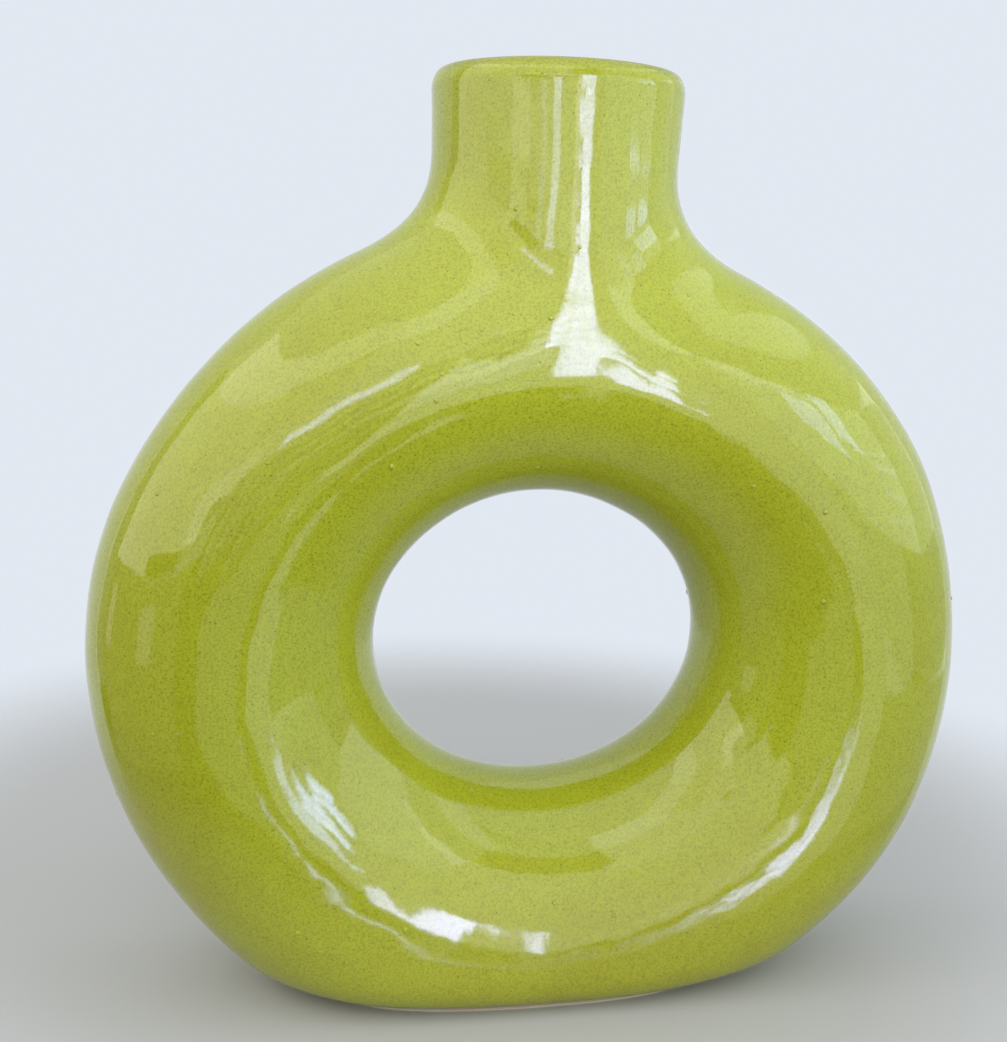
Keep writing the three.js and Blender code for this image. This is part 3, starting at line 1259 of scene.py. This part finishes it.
@dataclass(frozen=True)
class Softbox:
    """Upright lamp between two azimuths and two heights. Its glow is the brightness of its face."""

    name: str
    left: float
    right: float
    bottom: float
    top: float
    glow: float
    distance: float = 0.95
    tint: tuple[float, float, float] = (1.0, 1.0, 1.0)

    @property
    def place(self) -> Vector:
        """Finds the middle of the lamp.

        Returns:
            Its place.
        """
        turn = math.radians(self.left + self.right) / 2
        return Vector((math.sin(turn) * self.distance, -math.cos(turn) * self.distance,
                       (self.bottom + self.top) / 2))

    def hang(self, back: Vector, half_spread: float = 0.0) -> None:
        """Adds the lamp.

        Args:
            back: Direction that its back points in.
            half_spread: Half the angle that its light is held to, in degrees, or 0 to light all round.
        """
        lamp = bpy.data.lights.new(self.name, "AREA")
        lamp.shape = "RECTANGLE"
        lamp.size = 2 * self.distance * math.tan(math.radians(self.right - self.left) / 2)
        lamp.size_y = self.top - self.bottom
        lamp.energy = self.glow * math.pi * lamp.size * lamp.size_y
        lamp.color = self.tint
        if half_spread:
            half = math.radians(half_spread)
            lamp.spread = 2 * half
            lamp.energy *= 1 - half / math.tan(half)
        holder = linked(self.name, lamp)
        turned = back.to_track_quat("Z", "Y").to_matrix().to_4x4()
        holder.matrix_world = Matrix.Translation(self.place) @ turned
        holder.visible_camera = False

    def build(self) -> None:
        """Adds the lamp, facing the Z axis."""
        self.hang(self.place * Vector((1, 1, 0)))


@dataclass(frozen=True)
class Gridbox:
    """Lamp behind a grid, which holds its light to one place on the vase, as cells turned to it."""

    box: Softbox
    aim: tuple[float, float]
    half_spread: float
    cells: tuple[int, int]

    def build(self) -> None:
        """Adds the cells of the lamp."""
        box, (across, up) = self.box, self.cells
        sides = np.linspace(box.left, box.right, across + 1)
        heights = np.linspace(box.bottom, box.top, up + 1)
        target = Vector((self.aim[0], 0, self.aim[1]))
        for left, right in zip(sides, sides[1:]):
            for bottom, top in zip(heights, heights[1:]):
                cell = replace(box, left=left, right=right, bottom=bottom, top=top)
                cell.hang(cell.place - target, self.half_spread)


@dataclass
class Studio:
    """Pale floor and surroundings, a dark curtain in front, soft lamps before it, and the camera."""

    surroundings: Colour = (0.76, 0.81, 0.88, 1.0)
    matt_share: float = 0.65
    floor_colour: Colour = (0.53, 0.53, 0.53, 1.0)
    floor_centre: tuple[float, float, float] = (0.0, 0.08, 0.0)
    floor_radius: float = 0.5
    floor_fade_start: float = 0.13
    floor_fade_end: float = 0.26
    curtain_colour: Colour = (0.045, 0.045, 0.045, 1.0)
    curtain_radius: float = 1.7
    curtain_bottom: float = -1.2
    curtain_top: float = 1.4
    curtain_left: float = -122.0
    curtain_right: float = 112.0
    curtain_steps: int = 24
    overhead_width: float = 1.9
    overhead_height: float = 1.2
    overhead_glow: float = 0.41
    camera_azimuth: float = -11.166
    camera_elevation: float = 9.624
    camera_distance: float = 0.33179
    camera_roll: float = 1.94
    camera_target: tuple[float, float, float] = (-0.008913, 0.0, 0.109603)
    focal_length: float = 49.467
    sensor_width: float = 36.0
    clip_start: float = 0.01

    @staticmethod
    def staged(name: str, corners: Sequence, faces: Sequence,
               material: bpy.types.Material) -> bpy.types.Object:
        """Adds a piece of the studio that is not part of the vase.

        Args:
            name: Name of the piece.
            corners: Its vertices.
            faces: Its faces, as vertex numbers.
            material: Its material.

        Returns:
            The piece.
        """
        mesh = bpy.data.meshes.new(name)
        mesh.from_pydata(corners, [], faces)
        mesh.materials.append(material)
        piece = linked(name, mesh)
        return piece

    def floor(self) -> None:
        """Adds a floor that fades into the surroundings."""
        material = bpy.data.materials.new("pale_floor")
        web = Web.shading(material)
        place = web.add("ShaderNodeTexCoord", output="Object")
        span = {0: place, 1: Vector(self.floor_centre)}
        out = web.add("ShaderNodeVectorMath", {"operation": "DISTANCE"}, span, output="Value")
        fade = web.add("ShaderNodeMapRange", {"interpolation_type": "SMOOTHSTEP"}, {
            "Value": out, "From Min": self.floor_fade_start, "From Max": self.floor_fade_end})
        matt = web.add("ShaderNodeBsdfDiffuse", sockets={"Color": self.floor_colour})
        clear = web.add("ShaderNodeBsdfTransparent")
        mix = web.add("ShaderNodeMixShader", sockets={0: fade, 1: matt, 2: clear})
        web.node("ShaderNodeOutputMaterial", sockets={"Surface": mix})
        r = self.floor_radius
        corners = [(-r, -r, 0), (r, -r, 0), (r, r, 0), (-r, r, 0)]
        self.staged("floor", corners, [(0, 1, 2, 3)], material)

    def curtain(self) -> None:
        """Adds a dark curtain round the front and below, out of sight, which the glaze mirrors."""
        material = bpy.data.materials.new("dark_curtain")
        web = Web.shading(material)
        matt = web.add("ShaderNodeBsdfDiffuse", sockets={"Color": self.curtain_colour})
        web.node("ShaderNodeOutputMaterial", sockets={"Surface": matt})
        turns = np.radians(np.linspace(self.curtain_left, self.curtain_right, self.curtain_steps + 1))
        around = self.curtain_radius * np.stack([np.sin(turns), -np.cos(turns)], axis=1)
        count = len(around)
        corners = [(x, y, z) for z in (self.curtain_bottom, self.curtain_top) for x, y in around]
        faces = [(k, k + 1, count + k + 1, count + k) for k in range(count - 1)]
        faces.append(list(range(count)))
        self.staged("curtain", corners, faces, material).visible_camera = False

    def world(self) -> None:
        """Sets pale surroundings."""
        world = bpy.data.worlds.new("surroundings")
        web = Web.shading(world)
        path = web.node("ShaderNodeLightPath")
        seen = web.outputs(path, ["Is Camera Ray", "Is Glossy Ray", "Is Transmission Ray"])
        strength = sum(seen) * (1 - self.matt_share) + self.matt_share
        shader = web.add("ShaderNodeBackground", sockets={
            "Color": self.surroundings, "Strength": strength})
        web.node("ShaderNodeOutputWorld", sockets={"Surface": shader})
        bpy.context.scene.world = world

    @staticmethod
    def boxes() -> list[Union[Softbox, Gridbox]]:
        """Lists the lamps round the vase: broad banks of soft light, and small boxes with grids.

        Each box with a grid has its azimuths, its heights, its glow, the X and Z of the place that it
        lights, the half spread of its light, and its cells across and up.

        Returns:
            The lamps.
        """
        plain, brown = (1.0, 1.0, 1.0), (1.0, 0.85, 0.6)
        warm, cool = (1.0, 0.97, 0.88), (0.93, 1.0, 1.0)
        day, sky = (0.55, 0.55, 1.0), (0.44, 0.52, 1.0)
        banks = [
            Softbox("left_side_bank", -122, -110, -0.20, 1.2, 0.4),
            Softbox("left_bank", -110, -75, 0.17, 1.2, 1.85, tint=warm),
            Softbox("left_middle_bank", -75, -45, 0.24, 1.2, 1.7, tint=warm),
            Softbox("left_front_bank", -45, -20, 0.37, 0.56, 1.65, tint=warm),
            Softbox("left_front_high_bank", -45, -20, 0.56, 1.2, 1.4, tint=warm),
            Softbox("front_bank", -20, 1, 0.42, 1.2, 1.65),
            Softbox("front_low_bank", 1, 4, 0.42, 0.56, 1.65),
            Softbox("middle_bank", 4, 30, -0.10, 0.56, 1.45),
            Softbox("middle_high_bank", 1, 30, 0.56, 1.2, 0.25),
            Softbox("right_near_bank", 30, 60, -0.15, 0.12, 1.05, tint=cool),
            Softbox("right_bank", 60, 112, -0.15, 0.12, 0.55, tint=cool),
            Softbox("right_near_high_bank", 30, 60, 0.12, 0.55, 1.9, tint=cool),
            Softbox("right_high_bank", 60, 82, 0.12, 0.55, 1.9, tint=cool),
            Softbox("right_side_bank", 82, 112, 0.12, 0.55, 1.1, tint=cool),
            Softbox("right_top_bank", 30, 112, 0.55, 1.2, 1.05, tint=cool),
            Softbox("left_low_bank", -110, -40, -0.50, 0.17, 0.35, tint=brown),
            Softbox("left_low_strip", -106, -100, -0.08, 0.10, 0.7),
            Softbox("left_low_patch", -72, -60, -0.10, 0.06, 0.7),
            Softbox("left_low_bar", -52, -36, 0.15, 0.27, 0.8),
            Softbox("front_under_bank", -20, 10, -0.28, -0.02, 0.45),
            Softbox("low_bank", 16, 30, -0.32, -0.10, 1.2),
            Softbox("right_low_bank", 30, 112, -0.50, -0.15, 0.5),
        ]
        spots = [
            ("main_strip", (8, 21), (0.20, 0.47), 16.5, (0.0, 0.17), 7.0, (3, 4)),
            ("main_strip_middle", (12.5, 19.8), (0.12, 0.20), 16.5, (0.0, 0.17), 8.0, (3, 2)),
            ("main_strip_low", (12.5, 17.8), (0.0, 0.12), 16.5, (0.0, 0.17), 8.0, (2, 3)),
            ("thin_strip", (-16, -9.5), (0.13, 0.26), 8.0, (0.0, 0.19), 4.0, (2, 2)),
            ("pale_strip", (-27, -21), (0.13, 0.26), 2.5, (0.0, 0.19), 4.0, (1, 2)),
            ("arc_bar", (-26, -3), (0.40, 0.46), 8.0, (-0.047, 0.14), 6.0, (5, 1)),
            ("arc_middle", (4, 11), (0.07, 0.30), 2.0, (-0.015, 0.148), 4.0, (2, 4)),
            ("low_bar", (10, 18), (-0.215, -0.190), 4.0, (0.03, 0.025), 6.0, (3, 1)),
            ("low_patch", (12.8, 17.5), (-0.11, 0.05), 24.0, (-0.030, 0.023), 2.2, (3, 5)),
            ("low_streak", (11.5, 17.5), (-0.235, -0.15), 22.0, (0.062, 0.033), 2.3, (3, 3)),
            ("low_line", (9, 12.5), (-0.222, -0.204), 13.0, (-0.05, 0.032), 3.0, (2, 1)),
            ("glint_left", (12, 14), (-0.19, -0.12), 3.0, (0.022, 0.022), 4.0, (1, 2)),
            ("glint_right", (4.5, 9), (-0.13, -0.06), 5.0, (0.055, 0.043), 3.0, (2, 1)),
        ]
        fills = [
            ("neck_fill", (-20, 8), (0.16, 0.26), 2.2, (0.0, 0.195), 5.0, (12, 1)),
            ("throat_fill", (-20, 8), (0.26, 0.42), 1.8, (0.0, 0.190), 5.0, (8, 2)),
            ("neck_fill_left", (-75, -20), (0.15, 0.24), 2.1, (0.0, 0.195), 5.0, (24, 1)),
            ("veil_near", (-18, 4), (0.0, 0.42), 1.6, (0.045, 0.03), 10.0, (5, 6)),
            ("veil_middle", (-34, -18), (0.08, 0.37), 1.6, (0.045, 0.03), 10.0, (3, 4)),
            ("veil_far", (-54, -34), (0.25, 0.45), 1.3, (0.045, 0.03), 10.0, (3, 3)),
        ]
        cool_spots = [
            ("low_cool_left", (21.5, 26.5), (-0.12, -0.025), 10.0, (-0.052, 0.051), 4.5, (2, 2)),
            ("low_cool_middle", (26.5, 32), (-0.07, 0.035), 16.0, (-0.052, 0.051), 4.5, (2, 2)),
            ("low_cool_right", (32, 38.5), (-0.02, 0.09), 16.0, (-0.052, 0.051), 4.5, (2, 2)),
            ("limb_cool_left", (43, 51.5), (0.31, 0.50), 5.5, (0.057, 0.136), 4.5, (3, 3)),
            ("limb_cool_right", (53.5, 62), (0.38, 0.57), 6.0, (0.057, 0.136), 4.5, (3, 3)),
            ("neck_cool_left", (58, 68), (0.192, 0.217), 9.0, (0.028, 0.17), 4.0, (3, 1)),
            ("neck_cool_right", (71, 84), (0.192, 0.217), 8.0, (0.028, 0.17), 4.0, (4, 1)),
            ("neck_cool_high", (64, 82), (0.27, 0.45), 5.0, (0.013, 0.18), 4.0, (5, 3)),
        ]
        grids = []
        for tint, group in [(day, spots), (plain, fills), (sky, cool_spots)]:
            for name, (left, right), (bottom, top), glow, aim, half_spread, cells in group:
                box = Softbox(name, left, right, bottom, top, glow, tint=tint)
                grids.append(Gridbox(box, aim, half_spread, cells))
        return [*banks, *grids]

    def lamps(self) -> None:
        """Adds the lamps round the vase and one overhead."""
        for box in self.boxes():
            box.build()
        lamp = bpy.data.lights.new("overhead", "AREA")
        lamp.shape = "DISK"
        lamp.size = self.overhead_width
        lamp.energy = self.overhead_glow * (math.pi * self.overhead_width / 2) ** 2
        holder = linked("overhead", lamp)
        holder.location = (0, 0, self.overhead_height)
        holder.visible_camera = False

    def camera(self) -> None:
        """Sets the camera at the photograph's viewing angle."""
        turn, rise, roll = (math.radians(angle) for angle in (
            self.camera_azimuth, self.camera_elevation, self.camera_roll))
        level = math.cos(rise)
        back = Vector((math.sin(turn) * level, -math.cos(turn) * level, math.sin(rise)))
        right = Vector((math.cos(turn), math.sin(turn), 0))
        axes = Matrix((right, back.cross(right), back)).transposed().to_4x4()
        data = bpy.data.cameras.new("camera")
        data.sensor_width = self.sensor_width
        data.lens = self.focal_length
        data.clip_start = self.clip_start
        camera = linked("camera", data)
        place = Vector(self.camera_target) + back * self.camera_distance
        camera.matrix_world = Matrix.Translation(place) @ axes @ Matrix.Rotation(roll, 4, "Z")
        bpy.context.scene.camera = camera

    def build(self) -> None:
        """Builds the studio."""
        self.floor()
        self.curtain()
        self.world()
        self.lamps()
        self.camera()
        bpy.context.scene.view_settings.view_transform = "Standard"


def main() -> None:
    """Builds the studio and the vase."""
    logging.basicConfig(level=logging.INFO, format="%(message)s")
    Studio().build()
    glaze = Glaze()
    glazed = glaze.material("lime_glaze", bare_below=False)
    sole_finish = glaze.material("lime_glaze_over_bare_clay", bare_below=True)
    layout = RingLayout(ClayTree(ClaySizes()), JointSizes())
    RingShells(layout, glazed).build()
    SlipJoints(layout, glazed).build()
    NeckCollar(layout, glazed).build()
    Sole(layout, sole_finish).build()
    GlazePips(layout, glazed).build()


if __name__ == "__main__":
    main()
